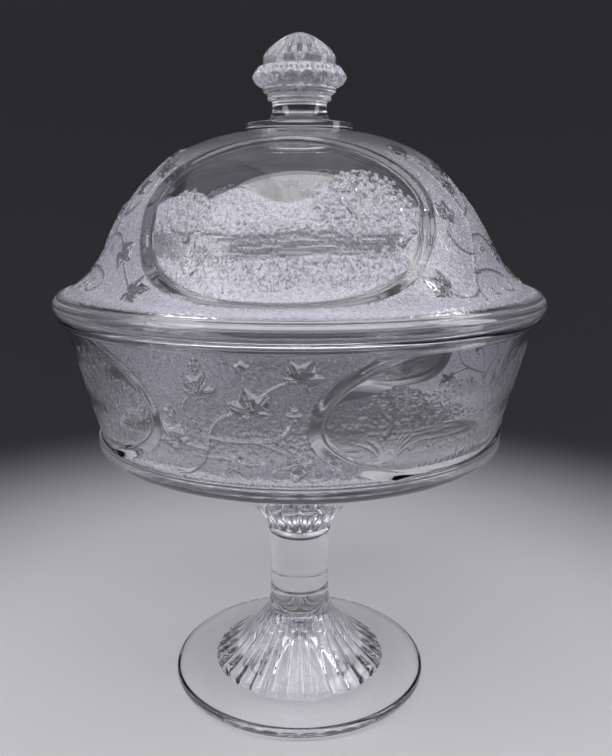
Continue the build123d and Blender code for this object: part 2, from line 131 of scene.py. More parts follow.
def spin(name, line, lift=0.0, columns=pressed_columns, stipple=None):
    """Closed glass turned about Z from a line of radius and height, which starts and ends on the axis
    and runs down the outside. Lift moves its points square to it, and stipple marks the dull ones,
    and on the crests of the finial, the skirt and the bowl's collar also painted highlights."""
    run = np.gradient(line, axis=0)
    run /= np.maximum(np.hypot(*run.T), 1e-9)[:, None]
    lift = np.zeros((len(line), columns)) + lift
    radius = (line[:, :1] - run[:, 1:] * lift)[1:-1]
    height = (line[:, 1:] + run[:, :1] * lift)[1:-1]
    rings = len(radius)
    turn = np.arange(columns) * 2 * pi / columns
    points = np.zeros((rings * columns + 2, 3))
    points[:-2, 0] = (radius * np.sin(turn)).ravel()
    points[:-2, 1] = (-radius * np.cos(turn)).ravel()
    points[:-2, 2] = height.ravel()
    points[-2:, 2] = line[0, 1], line[-1, 1]
    near = np.arange(columns)
    far = (near + 1) % columns
    row = np.arange(rings - 1)[:, None] * columns
    quads = np.stack([row + near, row + columns + near, row + columns + far, row + far], -1)
    last = (rings - 1) * columns
    pole = np.full(columns, rings * columns)
    first_cap = np.stack([pole, near, far], 1)
    last_cap = np.stack([last + near, pole + 1, last + far], 1)
    caps = np.concatenate([first_cap, last_cap])
    corners = np.concatenate([quads.ravel(), caps.ravel()])
    starts = np.concatenate([np.arange(quads.size // 4) * 4, quads.size + np.arange(len(caps)) * 3])
    mesh = bpy.data.meshes.new(name)
    mesh.vertices.add(len(points))
    mesh.vertices.foreach_set("co", (points * mm).ravel())
    mesh.loops.add(len(corners))
    mesh.loops.foreach_set("vertex_index", corners.astype(np.int32))
    mesh.polygons.add(len(starts))
    mesh.polygons.foreach_set("loop_start", starts.astype(np.int32))
    mesh.polygons.foreach_set("use_smooth", np.ones(len(starts), bool))
    if stipple is not None:
        marks = mesh.attributes.new("stipple", "FLOAT", "POINT")
        marks.data.foreach_set("value", np.append(stipple[1:-1].ravel(), [0, 0]).astype(np.float32))
    mesh.update(calc_edges=True)
    mesh.validate()
    piece = bpy.data.objects.new(name, mesh)
    scene.collection.objects.link(piece)
    return piece


class Sector:
    """The third of a pressed wall that holds one picture at turn 0 and one ground at turn 60."""

    def __init__(self, line):
        self.line = line
        self.turn = np.arange(pressed_columns // pictures) * 360 / pressed_columns
        self.girth = np.radians(line[:, :1])
        self.rise = -np.concatenate([[0], np.cumsum(np.hypot(*np.diff(line, axis=0).T))])[:, None]
        self.lift = np.zeros((len(line), len(self.turn)))
        self.stipple = np.zeros_like(self.lift)

    def rise_at(self, height):
        return np.interp(-height, -self.line[:, 1], self.rise[:, 0])

    def radius_at(self, height):
        return np.interp(-height, -self.line[:, 1], self.line[:, 0])

    def near(self, turn, height, reach):
        """The points within reach of a spot, and how far across and up from it they lie."""
        middle = self.rise_at(height)
        rows = np.nonzero(np.abs(self.rise[:, 0] - middle) <= reach)[0]
        column_width = radians(self.turn[1]) * self.line[rows, 0].min()
        half = min(int(reach / column_width) + 1, len(self.turn) // 2)
        columns = (round(turn / self.turn[1]) + np.arange(-half, half)) % len(self.turn)
        across = (self.turn[columns] - turn + pitch / 2) % pitch - pitch / 2
        return np.ix_(rows, columns), across * self.girth[rows], self.rise[rows] - middle + 0 * across

    def press(self, where, lift, dull):
        """Raises the wall to lift where that is higher, and gives it that dullness there."""
        self.stipple[where] = np.where(lift > 0.03, dull, self.stipple[where])
        self.lift[where] = np.maximum(self.lift[where], lift)

    def bump(self, turn, height, radius, lift, dull):
        where, across, up = self.near(turn, height, radius)
        self.press(where, lift * np.sqrt(np.clip(1 - (across**2 + up**2) / radius**2, 0, 1)), dull)

    def stem(self, points, width, lift, dull, taper=0.5):
        """A rounded stem along a smooth line of turns and heights, thinner towards its end."""
        girth = self.girth[:, 0].mean()
        spots = [(turn * girth, self.rise_at(height)) for turn, height in points]
        line = smooth_line(spots, 1.2) if len(spots) > 2 else np.array(spots)
        heights = np.interp(line[:, 1], self.rise[::-1, 0], self.line[::-1, 1])
        for k in range(len(line) - 1):
            turn, height = line[k, 0] / girth, heights[k]
            where, across, up = self.near(turn, height, np.hypot(*(line[k + 1] - line[k])) + width + 0.5)
            over = (line[k + 1, 0] / girth - turn) * np.radians(self.radius_at(height))
            on = line[k + 1, 1] - line[k, 1]
            t = np.clip((across * over + up * on) / (over**2 + on**2 + 1e-9), 0, 1)
            thin = width * (1 - taper * (k + t) / (len(line) - 1))
            away = np.hypot(across - t * over, up - t * on) / thin
            self.press(where, lift * np.sqrt(np.clip(1 - away**2, 0, 1)), dull)

    def leaf(self, turn, height, size, lean):
        """An ivy leaf of five crisp pointed lobes, each folded like a roof over a sunk vein."""
        where, across, up = self.near(turn, height, size * 1.2)
        leaf, veins = np.zeros_like(across), np.zeros_like(across)
        for swing, reach in ((0, 1.12), (56, 1.02), (-56, 1.02), (115, 0.68), (-115, 0.68)):
            way = radians(swing + lean)
            along = (across * sin(way) + up * cos(way)) / (size * reach)
            side = across * cos(way) - up * sin(way)
            breadth = 0.34 * size * reach
            swell = np.where(along < 0.48, 0.30 + 0.70 * along / 0.48, (1 - along) / 0.52)
            inside = (breadth * np.clip(swell, 0, 1) - np.abs(side)) * (along > -0.04)
            fold = np.clip(inside / breadth, 0, 1)
            leaf = np.maximum(leaf, np.clip(inside / 0.25, 0, 1) * (0.45 + 1.05 * fold))
            veins = np.maximum(veins, np.exp(-((side / 0.32) ** 2)) * np.clip(inside / 0.4, 0, 1))
        self.press(where, leaf - 0.50 * veins, 0.0)


def mound(across, middle, width):
    """A round hill of height 1 with its top at middle."""
    return np.exp(-(((across - middle) / width) ** 2))


class Picture(Sector):
    """One sunk picture: a rounded box, seen square on, whose roundness may differ above and below.
    Each of its trees is given by its place across and up, its half width and its half height."""

    trees = [(0.50, 0.20, 0.30, 0.36), (0.80, 0.00, 0.13, 0.26), (-0.64, 0.06, 0.17, 0.26)]
    tree_tufts = 1100
    hill_tufts = 260
    shore_tufts = 230
    grass_blades = 210
    ripples = 34
    reeds = 11

    def __init__(self, line, middle, half_width, half_height, above, below):
        super().__init__(line)
        self.middle, self.half_width, self.half_height = middle, half_width, half_height
        away = (self.turn + pitch / 2) % pitch - pitch / 2
        self.x = line[:, :1] * np.sin(np.radians(away)) / half_width
        self.y = (line[:, 1:] - middle) / half_height + 0 * away
        power = np.where(self.y > 0, above, below)
        level = (np.abs(self.x) ** power + np.abs(self.y) ** power) ** (1 / power)
        down = np.gradient(level, self.rise[:, 0], axis=0)
        over = (np.roll(level, -1, 1) - np.roll(level, 1, 1)) / (2 * self.turn[1] * self.girth)
        self.out = (level - 1) / np.maximum(np.hypot(down, over), 1 / (2 * half_width))
        self.bevel = 1.5 + 3.2 * np.clip(np.abs(self.x), 0, 1) ** 1.6

    def spot(self, x, y):
        height = self.middle + y * self.half_height
        out = self.flip * x * self.half_width / self.radius_at(height)
        return degrees(asin(np.clip(out, -1, 1))), height

    def draw(self, seed, strength):
        """A made-up lakeside: round hills, a lake with ripples, broad trees, grass and reeds. Places
        are shares of the picture's half width and half height. An odd seed mirrors them."""
        random = np.random.default_rng(seed)
        self.flip = -1 if seed % 2 else 1
        x, y = self.flip * self.x, self.y
        far_hills = 0.10 + 0.26 * mound(x, -0.30, 0.22) + 0.20 * mound(x, 0.36, 0.30)
        near_hills = -0.04 + 0.20 * mound(x, 0.05, 0.22) + 0.30 * mound(x, -0.74, 0.26)
        shore = -0.18 + 0.03 * np.sin(7 * x)
        bank = -0.50 + 0.16 * np.clip(x, 0, 1) + 0.04 * np.sin(5 * x + 1)

        def under(line):
            return np.clip((line - y) * self.half_height / 0.6, 0, 1)

        furrow = np.clip(np.sin((x * 0.6 + y) * self.half_height * 2.4 + 2.5 * np.sin(6 * x)), 0, 1)
        self.lift = 0.12 * under(far_hills) + 0.16 * under(near_hills) - 0.08 * furrow * under(far_hills)
        self.lift = self.lift * (1 - under(shore)) + 0.30 * under(bank)
        self.stipple = np.maximum(0.85 * under(far_hills), under(near_hills))
        self.stipple = np.where(y < shore, 0.35, self.stipple)
        self.stipple = np.where(y < bank, 1.0, self.stipple)
        for _ in range(self.ripples):
            start, level = random.uniform(-0.9, 0.6), random.uniform(-0.50, -0.22)
            end = start + random.uniform(0.08, 0.26)
            self.sketch([(start, level), (end, level)], 0.45, 0.22, 0.2)
        for _ in range(self.shore_tufts):
            at = random.uniform(-0.98, 0.98)
            self.tuft(at, -0.16 + random.uniform(-0.04, 0.10), random, 0.7)
        for _ in range(self.hill_tufts):
            at, up = random.uniform(-0.95, 0.95), random.uniform(-0.14, 0.34)
            if up < 0.08 + 0.22 * mound(at, -0.30, 0.22) + 0.16 * mound(at, 0.36, 0.30):
                self.tuft(at, up, random, 0.35)
        for middle, level, wide, tall in self.trees:
            foot = min(level - 1.2 * tall, -0.28)
            trunk = [
                (middle, foot),
                (middle + 0.012, (foot + level) / 2),
                (middle - 0.01, level + 0.4 * tall),
            ]
            self.sketch(trunk, 1.4, 0.80, 0.3)
            for side in (-1, 1):
                bough = [
                    (middle, level - 0.6 * tall),
                    (middle + side * 0.30 * wide, level - 0.15 * tall),
                    (middle + side * 0.66 * wide, level + 0.35 * tall),
                ]
                self.sketch(bough, 0.9, 0.72, 0.3)
            for _ in range(int(self.tree_tufts * wide)):
                way, out = random.uniform(0, 2 * pi), random.random() ** 0.5
                at, up = middle + wide * out * cos(way), level + tall * out * sin(way)
                self.tuft(at, up, random, 0.85)
        for _ in range(self.grass_blades):
            at = random.uniform(-0.98, 0.98)
            foot = -0.50 + 0.16 * max(at, 0) - random.uniform(0.0, 0.40)
            blade = [(at, foot), (at + random.uniform(-0.014, 0.014), foot + random.uniform(0.03, 0.08))]
            self.sketch(blade, 0.40, 0.62, 0.4)
        for sway in np.linspace(-1, 1, self.reeds):
            foot = -0.66
            top = foot + random.uniform(0.34, 0.46) * (1 - 0.35 * sway**2)
            at = -0.60 + 0.03 * sway
            reed = [(at, foot), (at + 0.04 * sway, (foot + top) / 2), (at + 0.14 * sway, top)]
            self.sketch(reed, 0.50, 0.75, 0.2, 0.8)
        self.lift *= strength
        self.stipple *= strength

    def sketch(self, points, width, lift, dull, taper=0.5):
        self.stem([self.spot(x, y) for x, y in points], width, lift, dull, taper)

    def tuft(self, x, y, random, lift):
        radius, share = random.uniform(0.5, 1.15), random.uniform(0.6, 1.0)
        self.bump(*self.spot(x, y), radius, lift * share, random.uniform(0.5, 1.0))

    def set_in(self, ground, depth):
        """The ground with this picture sunk into it, in a bevel between two fine raised lines."""
        slope = np.clip(-self.out / self.bevel, 0, 1)
        edge = -depth * slope**2 * (3 - 2 * slope)
        edge += 0.20 * np.exp(-(((self.out - 0.5) / 0.45) ** 2))
        edge += 0.34 * np.exp(-(((self.out + self.bevel + 0.4) / 0.5) ** 2))
        inside = np.clip(-(self.out + self.bevel + 1.0) / 0.6, 0, 1)
        outside = np.clip((self.out - 0.6) / 0.6, 0, 1)
        lift = edge + self.lift * inside + ground.lift * outside
        return lift, self.stipple * inside + ground.stipple * outside


def pressed_relief(ground, turn, outline, seed, strength):
    """Lift and stipple all round a pressed wall, with a picture of its own in each third."""
    random = np.random.default_rng(seed)
    lifts, stipples = [], []
    for third in range(pictures):
        picture = Picture(ground.line, *outline)
        picture.draw(seed + third, strength)
        lift, stipple = picture.set_in(ground, picture_depth)
        lifts.append(lift)
        stipples.append(stipple)
    lift, stipple = np.concatenate(lifts, 1), np.clip(np.concatenate(stipples, 1), 0, 1)
    grit = random.normal(size=lift.shape)
    grit = grit + np.roll(grit, 1, 0) + np.roll(grit, 1, 1) + np.roll(grit, (1, 1), (0, 1))
    lift += stipple_grain * stipple * grit
    shift = round(turn / 360 * pressed_columns)
    return np.roll(lift, shift, 1), np.roll(stipple, shift, 1)


def glass(stippled):
    """Clear pressed glass with a faint lilac cast and a wavy skin; its stipple is dull and milky, and on
    the crests of the finial, the skirt and the bowl's collar the same milky mark is a painted highlight.
    """
    material = bpy.data.materials.new("glass_skin")
    material.use_nodes = True
    nodes, links = material.node_tree.nodes, material.node_tree.links
    shader = nodes["Principled BSDF"]
    shader.inputs["IOR"].default_value = 1.52
    place = nodes.new("ShaderNodeTexCoord")
    smear = nodes.new("ShaderNodeTexNoise")
    smear.inputs["Scale"].default_value = 35
    smear.inputs["Detail"].default_value = 4
    links.new(place.outputs["Object"], smear.inputs["Vector"])
    dull = nodes.new("ShaderNodeMapRange")
    dull.inputs["From Min"].default_value = 0.45
    dull.inputs["From Max"].default_value = 0.80
    dull.inputs["To Max"].default_value = 0.05
    links.new(smear.outputs["Fac"], dull.inputs["Value"])
    wave = nodes.new("ShaderNodeTexNoise")
    wave.inputs["Scale"].default_value = 60
    wave.inputs["Detail"].default_value = 1
    links.new(place.outputs["Object"], wave.inputs["Vector"])
    wave_bump = nodes.new("ShaderNodeBump")
    wave_bump.inputs["Strength"].default_value = 0.12
    wave_bump.inputs["Distance"].default_value = 0.5 * mm
    links.new(wave.outputs["Fac"], wave_bump.inputs["Height"])
    links.new(wave_bump.outputs["Normal"], shader.inputs["Normal"])
    if stippled:
        mark = nodes.new("ShaderNodeAttribute")
        mark.attribute_name = "stipple"
        frost = nodes.new("ShaderNodeMath")
        frost.operation = "MULTIPLY_ADD"
        frost.inputs[1].default_value = 0.20
        links.new(mark.outputs["Fac"], frost.inputs[0])
        links.new(dull.outputs["Result"], frost.inputs[2])
        links.new(frost.outputs["Value"], shader.inputs["Roughness"])
        speck = nodes.new("ShaderNodeTexNoise")
        speck.inputs["Scale"].default_value = 1500
        speck.inputs["Detail"].default_value = 0
        links.new(place.outputs["Object"], speck.inputs["Vector"])
        specks = nodes.new("ShaderNodeMapRange")
        specks.inputs["From Min"].default_value = 0.40
        specks.inputs["From Max"].default_value = 0.60
        specks.inputs["To Min"].default_value = 0.66
        links.new(speck.outputs["Fac"], specks.inputs["Value"])
        # The milky mark lowers transmission and pales the colour: real stipple on the grounds, painted
        # highlight on the crests of the finial, the skirt and the collar.
        milk = nodes.new("ShaderNodeMath")
        milk.operation = "MULTIPLY"
        links.new(mark.outputs["Fac"], milk.inputs[0])
        links.new(specks.outputs["Result"], milk.inputs[1])
        clear = nodes.new("ShaderNodeMapRange")
        clear.inputs["To Min"].default_value = 1.0
        clear.inputs["To Max"].default_value = 0.52
        links.new(milk.outputs["Value"], clear.inputs["Value"])
        links.new(clear.outputs["Result"], shader.inputs["Transmission Weight"])
        cast = nodes.new("ShaderNodeMix")
        cast.data_type = "RGBA"
        cast.inputs[6].default_value = lilac_glass
        cast.inputs[7].default_value = milky_glass_and_highlight
        links.new(milk.outputs["Value"], cast.inputs[0])
        links.new(cast.outputs[2], shader.inputs["Base Color"])
    else:
        links.new(dull.outputs["Result"], shader.inputs["Roughness"])
        shader.inputs["Transmission Weight"].default_value = 1.0
        shader.inputs["Base Color"].default_value = lilac_glass
    path = nodes.new("ShaderNodeLightPath")
    slant = nodes.new("ShaderNodeLayerWeight")
    let_in = nodes.new("ShaderNodeMapRange")
    let_in.inputs["From Min"].default_value = 0.45
    let_in.inputs["To Min"].default_value = 0.80
    let_in.inputs["To Max"].default_value = 0.15
    links.new(slant.outputs["Facing"], let_in.inputs["Value"])
    through = nodes.new("ShaderNodeBsdfTransparent")
    links.new(let_in.outputs["Result"], through.inputs["Color"])
    pass_light = nodes.new("ShaderNodeMixShader")
    links.new(path.outputs["Is Shadow Ray"], pass_light.inputs["Fac"])
    links.new(shader.outputs["BSDF"], pass_light.inputs[1])
    links.new(through.outputs["BSDF"], pass_light.inputs[2])
    links.new(pass_light.outputs["Shader"], nodes["Material Output"].inputs["Surface"])
    return material


def finish_glass(piece, skin, body, node):
    """Gives a turned piece its glass, and lets it stand for its solid on the body it belongs to."""
    piece.data.materials.append(skin)
    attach(piece, body)
    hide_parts(node)


stippled_and_highlight_glass = glass(stippled=True)
dome_shares = [(0, 1), (0.435, 0.80), (0.675, 0.46), (0.770, 0.24), (0.855, 0.09), (1, 0)]
dome = smooth_line([
    (crown_radius + (flare_radius - crown_radius) * out, flange_top + (crown - flange_top) * up)
    for out, up in dome_shares
], pressed_step)
cover_ground = Sector(dome)
cover_ground.stipple[:] = cover_dullness * np.clip((crown - dome[:, 1:]) / 24, 0.25, 1)
for stem in (
    [(48.9, 9.4), (51.2, 15.6), (56.4, 25.1), (60.0, 34.1), (61.5, 42.4), (59.5, 50.4), (52.0, 62.4)],
    [(56.4, 25.1), (50.0, 28.9), (48.0, 34.0), (50.5, 39.4)],
    [(61.0, 39.4), (67.0, 43.4), (70.0, 49.5), (69.0, 55.4)],
    [(52.5, 18.4), (62.0, 18.9), (69.0, 14.9), (66.0, 11.0), (61.0, 12.6), (62.5, 15.6)],
    [(59.0, 31.5), (67.0, 31.4), (72.0, 25.9), (78.0, 18.4), (84.0, 13.0)],
    [(50.5, 13.4), (44.0, 11.2), (39.5, 14.8)],
):
    cover_ground.stem([(turn, seat + up) for turn, up in stem], cover_stem_half_width, 0.70, 0.05)
for turn, up, size, lean in (
    (39.5, 14.8, 8.0, -60), (84.0, 13.0, 8.0, 75), (72.0, 25.9, 7.5, 110), (50.5, 39.4, 7.0, 20),
    (69.0, 55.4, 7.5, 10), (52.0, 62.4, 6.5, -30), (61.0, 49.4, 6.0, 60),
):
    cover_ground.leaf(turn, seat + up, size, lean)
for turn, up in ((63.0, 26.5), (60.5, 60.0), (56.0, 11.0)):
    for over, rise in ((-1.2, 0), (1.2, 0), (0, 1.7)):
        berry = turn + degrees(over / cover_ground.radius_at(seat + up))
        cover_ground.bump(berry, seat + up + rise, 1.0, 0.60, 0.05)
cover_picture_outline = (
    cover_picture_middle,
    cover_picture_half_width,
    cover_picture_half_height,
    cover_picture_upper_round,
    cover_picture_lower_round,
)
cover_lift, cover_stipple = pressed_relief(
    cover_ground, cover_picture_turn, cover_picture_outline, cover_picture_seed, cover_picture_strength,
)
under_disc = eased_line([(0, crown, 0), (12, crown, 0), (crown_radius, crown, 0)], 6)[:-1]
flange = eased_line([
    (flare_radius, flange_top, 0),
    (flare_radius + 0.5, flange_top - 0.5, 0.3),
    (flare_radius + 0.8, flange_top - 1.2, 0.2),
    (flare_radius + 1.4, flange_top - 1.5, 0.3),
    (flange_radius, flange_top - 3.0, 0.9),
    (flange_radius, flange_top - 5.4, 1.2),
    (flange_radius - 1.3, seat, 0.9),
    (lip_radius + 0.6, seat, 0.4),
    (lip_radius, seat - 0.4, 0.4),
    (lip_radius, seat - lip_depth, 1.2),
    (lip_radius - lip_wall, seat - lip_depth, 1.4),
    (lip_radius - lip_wall - 0.1, seat + 3.8, 1.0),
    (89.0, seat + 9.0, 0),
], 0.8)[1:]
slope = np.gradient(dome, axis=0)
slope /= np.hypot(*slope.T)[:, None]
lining = dome + cover_wall * np.stack([slope[:, 1], -slope[:, 0]], 1)
lining_top = [(8, crown - cover_wall), (0, crown - cover_wall)]
lining = np.append(lining[dome[:, 1] > flange_top + 6][::-5], lining_top, 0)
cover_line = np.concatenate([under_disc, dome, flange, lining])
rows = slice(len(under_disc), len(under_disc) + len(dome))
fade = np.minimum(np.arange(len(dome)), np.arange(len(dome))[::-1])[:, None]
lift, stipple = np.zeros((2, len(cover_line), pressed_columns))
lift[rows] = cover_lift * np.clip(fade / 4, 0, 1)
stipple[rows] = cover_stipple * np.clip(fade / 4 - 0.5, 0, 1)
stipple[rows.stop:][cover_line[rows.stop:, 0] > lip_radius + 1] = flange_haze
cover_glass = spin("cover_glass", cover_line, lift, stipple=stipple)
finish_glass(cover_glass, stippled_and_highlight_glass, "cover", "cover")

# The finial is pressed by itself and stuck hot to the cover's crown: a sharp disc, a waisted neck, two
# plain rings, a ring of scallop shells under a row of dots, and a pointed knop of rounded ribs.
finial_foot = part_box("finial")[0][2] / mm
finial_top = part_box("finial")[1][2] / mm
finial_columns = 720
shells = 18
shell_dots = 3
knop_ribs = 20
knop_radius = 15.2
knop_point = 1.45
groove_depth = 1.05
ring_radius = 18.5
shell_base = finial_foot + 19.2
shell_height = 8.0
shell_drop = 0.8
shell_half = pi * ring_radius / shells
shell_swell = 1.3
window_at = 0.12
window_radius = 2.6
dots_at = 0.66
knop_base = shell_base + shell_height
knop_foot = knop_base + 2.4
fused = 0.15
# The milky haze on the knop's rib crests and foot band, the plain rings and the shells is partly worn
# dullness and partly painted highlight for the light the facets catch.
knop_haze_and_highlight = 0.60
knop_foot_haze_and_highlight = 0.45
shell_haze_and_highlight = 0.60
fan_haze_and_highlight = 0.25
rings_haze_and_highlight = 0.30
knop_rise = np.linspace(1, 0, 34)[:, None]
knop = np.concatenate([
    knop_radius * (1 - knop_rise**knop_point) ** (1 / knop_point),
    knop_foot + (finial_top - knop_foot) * knop_rise,
], 1)
finial_line = np.concatenate([knop, eased_line([
    tuple(knop[-1]) + (0,),
    (knop_radius + 0.1, knop_base - 0.8, 0.3),
    (knop_radius + 1.1, knop_base - 1.1, 0.3),
    (17.4, knop_base - 1.8, 1.0),
    (19.0, knop_base - 4.2, 1.5),
    (19.1, knop_base - 6.4, 1.4),
    (17.8, shell_base - 0.1, 1.0),
    (15.8, shell_base - 0.5, 0.4),
    (15.4, shell_base - 0.9, 0.3),
    (15.4, shell_base - 2.9, 0.8),
    (13.9, shell_base - 3.7, 0.3),
    (13.6, shell_base - 3.9, 0.2),
    (13.6, shell_base - 4.7, 0.3),
    (13.0, shell_base - 5.0, 0.15),
    (13.5, shell_base - 5.3, 0.2),
    (13.5, shell_base - 5.9, 0.4),
    (11.6, shell_base - 6.7, 0.6),
    (11.4, shell_base - 10.5, 2.5),
    (13.2, shell_base - 14.2, 1.5),
    (15.6, shell_base - 15.3, 0.8),
    (crown_radius - 0.3, shell_base - 15.6, 0.25),
    (crown_radius, shell_base - 15.9, 0.2),
    (crown_radius, finial_foot + 0.1, 0.15),
    (crown_radius - 0.4, finial_foot - fused, 0.2),
    (0, finial_foot - fused, 0),
], 0.3)[1:]])
turns = np.arange(finial_columns) / finial_columns
across_rib = np.abs((turns * knop_ribs) % 1 - 0.5) * 2
across_shell = ((turns * shells) % 1 - 0.5) * 2
finial_radius = finial_line[:, :1]
finial_height = finial_line[:, 1:]
on_knop = np.clip((finial_height - knop_base - 2.2) / 0.9, 0, 1)
on_knop *= np.clip((finial_top - finial_height) / 1.6, 0, 1)
groove = np.clip((across_rib - 0.45) / 0.55, 0, 1) ** 1.3
finial_lift = -groove_depth * on_knop * groove * np.clip(finial_radius / 9, 0, 1)
up_shell = (finial_height - shell_base + shell_drop) / shell_height
in_ring = np.clip(up_shell / 0.08, 0, 1) * np.clip((0.99 - up_shell) / 0.08, 0, 1)
in_ring *= finial_radius > 15.5
bulge = np.sqrt(np.clip(1 - across_shell**2, 0, 1))
beside_shell = across_shell * shell_half
arch = np.hypot(beside_shell, (up_shell - window_at) * shell_height)
arch_rim = np.exp(-(((arch - window_radius - 0.4) / 0.45) ** 2)) * (up_shell > window_at)
hollow = np.clip((window_radius - arch) / 0.4, 0, 1)
fan = 0.5 + 0.5 * np.cos(7 * np.arctan2(beside_shell, np.maximum(up_shell * shell_height, 0.2)))
beside_dot = ((turns * shells * shell_dots) % 1 - 0.5) * 2 * shell_half / shell_dots
dots = np.exp(-((np.hypot(beside_dot, (up_shell - dots_at) * shell_height) / 0.50) ** 2))
shell_lift = shell_swell * (bulge - 0.6) + 0.30 * arch_rim - hollow * (1.0 - 0.6 * fan) - 0.8 * dots
finial_lift += in_ring * shell_lift
# Worn haze and painted highlight: milky on the knop's rib crests, its foot band, the rings and the
# shells, while the shells' windows stay clear but for faint fan lines.
on_crest = np.clip((0.55 - across_rib) / 0.15, 0, 1)
on_band = (finial_height > knop_base - shell_drop) * (finial_height < knop_base + 2.8)
on_rings = (finial_radius > 13.1) * (finial_height < shell_base) * (finial_height > shell_base - 6.4)
finial_haze_and_highlight = knop_haze_and_highlight * on_knop * on_crest + knop_foot_haze_and_highlight * on_band + rings_haze_and_highlight * on_rings
on_shell = in_ring * (shell_haze_and_highlight * (1 - hollow) + fan_haze_and_highlight * hollow * fan) * (1 - dots)
finial_haze_and_highlight = np.maximum(finial_haze_and_highlight, on_shell)
finial_glass = spin("finial_glass", finial_line, finial_lift, finial_columns, finial_haze_and_highlight)
finish_glass(finial_glass, stippled_and_highlight_glass, "cover", "finial")

# The bowl is pressed in a mould of three leaves: a straight flared wall of pictures and ivy grounds
# between a rim bead and a plain band, on a shallow dish with a fluted collar. A mould seam runs
# down the middle of each ground. The plunger leaves the inside smooth.
bowl_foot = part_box("bowl")[0][2] / mm
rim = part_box("bowl")[1][2] / mm
bead_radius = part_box("bowl")[1][0] / mm
bowl_picture_turn = 45.3
bowl_picture_half_width = 65.0
bowl_picture_half_height = 29.0
bowl_picture_round = 2.4
bowl_picture_strength = 0.32
bowl_picture_seed = 30
bowl_stem_half_width = 0.62
wall_top = rim - 4.6
band_top = bowl_foot + 49.6
bowl_picture_middle = band_top + 26.6
band_radius = 89.6
mouth_radius = bead_radius - 5.85
collar_radius = 33.0
collar_height = 19.2
collar_flutes = 20
collar_flute_depth = 1.1
# Milky marks along the collar's flute crests are painted highlight streaks.
collar_painted_highlight = 0.45
floor = bowl_foot + 24.0
bowl_dullness = 0.80
band_haze = 0.45
seam_lift = 0.12
wall = np.linspace((bead_radius - 2.3, wall_top), (band_radius - 0.8, band_top), round(50 / pressed_step))
bowl_ground = Sector(wall)
bowl_ground.stipple[:] = bowl_dullness
for stem in (
    [(43.8, 3.3), (48.0, 2.9), (52.5, 7.4), (54.8, 13.8), (55.8, 19.8), (57.6, 24.4), (65.3, 28.7)],
    [(54.2, 15.2), (52.8, 22.1), (50.4, 28.7), (54.1, 34.9)],
    [(65.3, 28.7), (68.9, 36.7), (74.9, 40.5)],
    [(55.8, 18.0), (65.6, 17.5), (70.4, 18.9), (73.8, 27.7)],
    [(54.6, 10.2), (61.2, 10.5)],
    [(65.6, 17.3), (70.6, 14.4), (75.0, 9.9)],
    [(63.9, 44.0), (63.9, 38.1), (65.3, 28.7)],
    [(54.2, 13.1), (47.2, 15.1)],
):
    bowl_ground.stem([(turn, band_top + up) for turn, up in stem], bowl_stem_half_width, 0.75, 0.05)
for turn, up, size, lean in (
    (54.1, 34.9, 8.0, 25), (65.3, 28.7, 9.5, -15), (74.9, 40.5, 8.5, 30), (47.2, 15.1, 8.0, -40),
    (61.2, 10.5, 8.0, 160), (75.0, 9.9, 8.0, -165), (63.9, 44.0, 3.8, 0),
):
    bowl_ground.leaf(turn, band_top + up, size, lean)
for turn, up in ((46.7, 26.5), (73.8, 27.7), (54.5, 44.8)):
    for over, rise in ((-1.3, 0), (1.3, 0), (0, 1.9), (0, -1.8)):
        berry = turn + degrees(over / bowl_ground.radius_at(band_top + up))
        bowl_ground.bump(berry, band_top + up + rise, 1.1, 0.65, 0.05)
bowl_picture_outline = (
    bowl_picture_middle,
    bowl_picture_half_width,
    bowl_picture_half_height,
    bowl_picture_round,
    bowl_picture_round,
)
bowl_lift, bowl_stipple = pressed_relief(
    bowl_ground, bowl_picture_turn, bowl_picture_outline, bowl_picture_seed, bowl_picture_strength,
)
for leaf_of_mould in range(pictures):
    seam = bowl_picture_turn - pitch / 2 + pitch * leaf_of_mould
    bowl_lift[:, round(seam / 360 * pressed_columns) % pressed_columns] += seam_lift
bowl_inside = eased_line([
    (0, floor, 0),
    (28, floor, 12),
    (84.2, band_top - 1.5, 9),
    (mouth_radius, rim - 0.6, 0),
], 2.5)[:-1]
bowl_bead = eased_line([
    (mouth_radius, rim - 0.6, 0),
    (mouth_radius, rim, 0.5),
    (bead_radius - 1.0, rim, 0.6),
    (bead_radius, rim - 0.8, 0.6),
    (bead_radius, rim - 2.4, 0.8),
    (bead_radius - 0.9, rim - 3.7, 0.5),
    (bead_radius - 1.9, rim - 4.0, 0.3),
    tuple(wall[0]) + (0,),
], 0.5)[:-1]
bowl_underside = eased_line([
    tuple(wall[-1]) + (0,),
    (band_radius - 0.5, band_top - 0.1, 0.2),
    (band_radius - 0.1, band_top - 0.5, 0.3),
    (band_radius - 0.1, band_top - 1.1, 0.2),
    (band_radius - 0.5, band_top - 1.4, 0.15),
    (band_radius - 0.1, band_top - 1.8, 0.3),
    (band_radius, band_top - 4.5, 1.2),
    (band_radius - 2.3, band_top - 7.0, 1.2),
    (collar_radius + 6, bowl_foot + collar_height + 1.6, 6),
    (collar_radius, bowl_foot + collar_height, 1.0),
    (28.0, bowl_foot + 15.8, 2),
    (24.0, bowl_foot + 12.3, 2),
    (20.6, bowl_foot + 8.6, 2),
    (17.8, bowl_foot + 4.9, 2),
    (15.9, bowl_foot + 1.6, 1),
    (15.2, bowl_foot - 0.1, 0.4),
    (0, bowl_foot - 0.1, 0),
], 0.8)[1:]
bowl_line = np.concatenate([bowl_inside, bowl_bead, wall, bowl_underside])
before_wall = len(bowl_inside) + len(bowl_bead)
rows = slice(before_wall, before_wall + len(wall))
lift, stipple = np.zeros((2, len(bowl_line), pressed_columns))
across_flute = ((np.arange(pressed_columns) / pressed_columns * collar_flutes) % 1 - 0.5) * 2
up_collar = bowl_line[:, 1:] - bowl_foot
